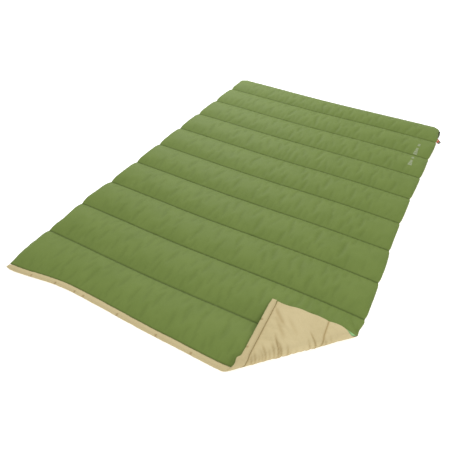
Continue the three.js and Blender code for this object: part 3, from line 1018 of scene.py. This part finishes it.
folded_rows = (
    ("stitches_09", seam_places[8] - ROW_OFFSET, quilting_thread,
     "quilting_thread_09", "quilting_thread"),
    ("hem_stitches", DITCH + 1.3 * ROW_OFFSET, hem_thread, "hem_thread", "hem_thread"),
)
for name, line, finish, node, finish_slot in folded_rows:
    below = row_of_stitches(f"{name}_foot", line, finish, wanted=lambda at: at.z < under_axis[2])
    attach(below, "foot_section")
    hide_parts(f"{node}_foot")
    above = row_of_stitches(f"{name}_corner", line, finish, wanted=lambda at: at.z > over_axis[2])
    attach(above, "turned_corner")
    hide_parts(f"{node}_corner")

# ---------------------------------------------------------------------------------------------
# Hanging loop. A short length of dark woven tape, folded double and caught in the right side
# seam near the head, lying along the edge and turned partly on to its side.
LOOP_TAPE_THICKNESS = 0.0010
LOOP_LAYER_GAP = 0.0018
LOOP_STEPS = 25
LOOP_TAPE_WIDTH = 0.015
LOOP_TAPE_LENGTH = 0.176
loop_low, loop_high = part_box("hang_loop")
loop_length = loop_high.y - loop_low.y
loop_middle_x = (loop_low.x + loop_high.x) / 2
loop_run = np.linspace(0, 1, LOOP_STEPS)
loop_across = np.linspace(-0.5, 0.5, 5)
there = np.concatenate([loop_run, loop_run[::-1]])
side_of_loop = np.repeat((-1.0, 1.0), LOOP_STEPS)
closing = np.sqrt(np.clip(1 - ((there - 0.96) / 0.04).clip(0, 1) ** 2, 0, 1))
loop_share = 0.62 + 0.38 * np.sin(np.pi * np.clip(there, 0, 1) ** 0.8) - 0.25 * there
loop_width = (loop_high.x - loop_low.x) * loop_share
loop_twist = np.radians(8 + 42 * ease(there / 0.9))
loop_centre_z = 0.0042 + 0.0045 * ease(there / 0.8) + 0.0005
apart = side_of_loop * (LOOP_LAYER_GAP / 2) * closing * (1 + 1.2 * np.sin(np.pi * there))
across_grid, there_grid = np.meshgrid(loop_across, there)
offset = across_grid * loop_width[:, None]
twist = loop_twist[:, None]
loop_x = (loop_middle_x - 0.002 + 0.002 * there_grid + offset * np.cos(twist)
          + apart[:, None] * np.sin(twist))
loop_y = loop_low.y + 0.001 + there_grid * (loop_length - 0.003)
loop_z = loop_centre_z[:, None] - offset * np.sin(twist) + apart[:, None] * np.cos(twist)
loop_z = np.maximum(loop_z, 0.0010)
loop_cut_x, loop_cut_y = np.meshgrid(
    loop_across * LOOP_TAPE_WIDTH, np.linspace(0, LOOP_TAPE_LENGTH, len(there))
)
loop = cloth_object(
    "hanging_loop_tape", np.stack([loop_x, loop_y, loop_z], -1), loop_cut_x, loop_cut_y
)
thicken(loop, LOOP_TAPE_THICKNESS)
webbing = woven(
    "webbing", (0.020, 0.021, 0.008), (0.050, 0.050, 0.022), 0.0018, 0.85, 0.2, 0.8, 0.0003
)
loop.data.materials.append(webbing)
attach(loop, "hang_loop")
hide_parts("hang_loop")

# ---------------------------------------------------------------------------------------------
# Side label. A small square woven label beside the loop, orange red with a plain pale disc and
# a dark outer band, sewn in by one edge and drooping over the side of the quilt.
label_low, label_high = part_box("side_label")
LABEL_STEPS = 14
LABEL_SIDE = 0.038
LABEL_TURN = math.radians(38)
LABEL_SEWN_TURN = math.radians(12)
LABEL_DROP = 0.0066
LABEL_THICKNESS = 0.0009
label_out = np.linspace(0, 1, LABEL_STEPS + 1)
label_u, label_v = np.meshgrid(label_out, label_out)
label_out_x = label_u * math.cos(LABEL_TURN) + label_v * math.sin(LABEL_SEWN_TURN)
label_out_y = label_v * math.cos(LABEL_SEWN_TURN) - label_u * math.sin(LABEL_TURN)
label_x = label_low.x - 0.003 + LABEL_SIDE * label_out_x
label_y = label_low.y + 0.008 + LABEL_SIDE * label_out_y
label_curl = 0.0008 * np.sin(3.0 * label_v + 2.2 * label_u)
label_z = label_high.z - 0.0014 - LABEL_DROP * label_u**1.3 + label_curl
label_z = np.maximum(label_z, 0.0012)
label_cut_x = label_u * LABEL_SIDE
label_cut_y = label_v * LABEL_SIDE
label = cloth_object(
    "side_label_cloth", np.stack([label_x, label_y, label_z], -1), label_cut_x, label_cut_y
)
thicken(label, LABEL_THICKNESS)

LABEL_DEEP = (0.440, 0.058, 0.016)
LABEL_PALE = (0.600, 0.110, 0.034)
label_cloth = woven("label_cloth", LABEL_DEEP, LABEL_PALE, 0.0009, 0.65, 0.1, 0.5, 0.00008)
label_nodes = label_cloth.node_tree.nodes
label_links = label_cloth.node_tree.links


def label_zone(low, high, values, colour):
    """Weaves one more colour into the label where the value lies between two limits."""
    shader = label_nodes["Principled BSDF"]
    under = shader.inputs["Base Color"].links[0].from_socket
    zone = label_nodes.new("ShaderNodeMath")
    zone.operation = "COMPARE"
    zone.inputs[1].default_value = (low + high) / 2
    zone.inputs[2].default_value = (high - low) / 2
    label_links.new(values, zone.inputs[0])
    mixed = colour_mix(label_cloth, zone.outputs[0], under, colour)
    label_links.new(mixed, shader.inputs["Base Color"])


label_map = label_nodes.new("ShaderNodeUVMap")
label_map.uv_map = "cloth"
label_split = label_nodes.new("ShaderNodeSeparateXYZ")
label_links.new(label_map.outputs["UV"], label_split.inputs[0])
disc_distance = label_nodes.new("ShaderNodeVectorMath")
disc_distance.operation = "DISTANCE"
disc_distance.inputs[1].default_value = (0.0145, 0.019, 0)
label_links.new(label_map.outputs["UV"], disc_distance.inputs[0])
label_zone(-0.0048, 0.0048, disc_distance.outputs["Value"], (0.60, 0.52, 0.42))
label_zone(-0.001, 0.0030, label_split.outputs[0], (0.10, 0.045, 0.02))
label_zone(0.0260, 0.040, label_split.outputs[0], (0.045, 0.052, 0.026))
label_zone(0.0290, 0.0335, label_split.outputs[0], (0.22, 0.24, 0.19))
label_zone(-0.001, 0.0030, label_split.outputs[1], (0.11, 0.040, 0.018))
label_zone(0.0350, 0.0390, label_split.outputs[1], (0.11, 0.040, 0.018))
label.data.materials.append(label_cloth)
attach(label, "side_label")
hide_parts("side_label")

# ---------------------------------------------------------------------------------------------
# Printed marks. Two short rows of plain pale grey bars, printed on the shell near its right
# edge, on the second and the third channel.
PRINT_CLEARANCE = 0.0007
PRINT_THICKNESS = 0.0003
BAR_PITCH = 0.0155
BAR_LENGTHS = (0.0130, 0.0125, 0.0135, 0.0095, 0.0, 0.0130, 0.0100, 0.0)
BAR_WIDTHS = (0.95, 0.80, 0.62, 0.55, 0.0, 0.60, 0.50, 0.0)
print_ink = woven(
    "print_ink", (0.215, 0.262, 0.140), (0.300, 0.345, 0.205), 0.0011, 0.6, 0.0, 0.5, 0.00005
)
for number in (2, 3):
    node = f"printed_mark_{number:02d}"
    mark_low, mark_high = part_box(node)
    mark_width = mark_high.x - mark_low.x
    count = round((mark_high.y - mark_low.y) / BAR_PITCH)
    bars = bmesh.new()
    cut_map = bars.loops.layers.uv.new("cloth")
    for bar in range(count):
        part = BAR_WIDTHS[bar % len(BAR_WIDTHS)]
        length = BAR_LENGTHS[bar % len(BAR_LENGTHS)]
        if not length:
            continue
        start_y = mark_low.y + bar * BAR_PITCH
        before = set(bars.verts)
        bmesh.ops.create_grid(bars, x_segments=6, y_segments=4, size=0.5)
        for vertex in set(bars.verts) - before:
            x = (mark_low.x + mark_high.x) / 2 + vertex.co.x * mark_width * part
            y = start_y + (vertex.co.y + 0.5) * length
            at = sample(shell, x, y)
            vertex.co = (at[0], at[1], at[2] + PRINT_CLEARANCE)
    for face in bars.faces:
        face.smooth = True
        for loop_corner in face.loops:
            loop_corner[cut_map].uv = loop_corner.vert.co.xy
    mesh = bpy.data.meshes.new(f"print_channel_{number:02d}")
    bars.to_mesh(mesh)
    bars.free()
    piece = placed(mesh.name, mesh)
    thicken(piece, PRINT_THICKNESS)
    mesh.materials.append(print_ink)
    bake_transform(piece)
    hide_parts(node)

# ---------------------------------------------------------------------------------------------
# Floor, lights and air. A plain pale floor, a large soft light over the head-left corner, a
# weaker one over the foot-right corner, and an even white surround.
floor_mesh = bpy.data.meshes.new("floor")
floor_shape = bmesh.new()
bmesh.ops.create_grid(floor_shape, x_segments=1, y_segments=1, size=12)
floor_shape.to_mesh(floor_mesh)
floor_shape.free()
floor = placed("floor", floor_mesh)
floor_finish = bpy.data.materials.new("floor")
floor_finish.use_nodes = True
floor_shader = floor_finish.node_tree.nodes["Principled BSDF"]
floor_shader.inputs["Base Color"].default_value = (0.9, 0.9, 0.9, 1)
floor_shader.inputs["Roughness"].default_value = 0.9
floor_shader.inputs["Emission Color"].default_value = (1, 1, 1, 1)
floor_shader.inputs["Emission Strength"].default_value = 0.4
floor_mesh.materials.append(floor_finish)

air = bpy.data.worlds.new("air")
bpy.context.scene.world = air
air.use_nodes = True
air.node_tree.nodes["Background"].inputs["Color"].default_value = (1, 1, 1, 1)
air.node_tree.nodes["Background"].inputs["Strength"].default_value = 0.85


def soft_light(name, place, target, size, power):
    data = bpy.data.lights.new(name, "AREA")
    data.size = size
    data.energy = power
    lamp = placed(name, data)
    lamp.location = place
    lamp.rotation_euler = (Vector(target) - Vector(place)).to_track_quat("-Z", "Y").to_euler()


soft_light("back_light", (-1.8, 3.0, 2.5), (0, 0, 0), 1.9, 88)
soft_light("front_light", (1.8, -2.6, 3.0), (0, -0.6, 0), 2.2, 40)
bpy.context.scene.view_settings.view_transform = "Standard"
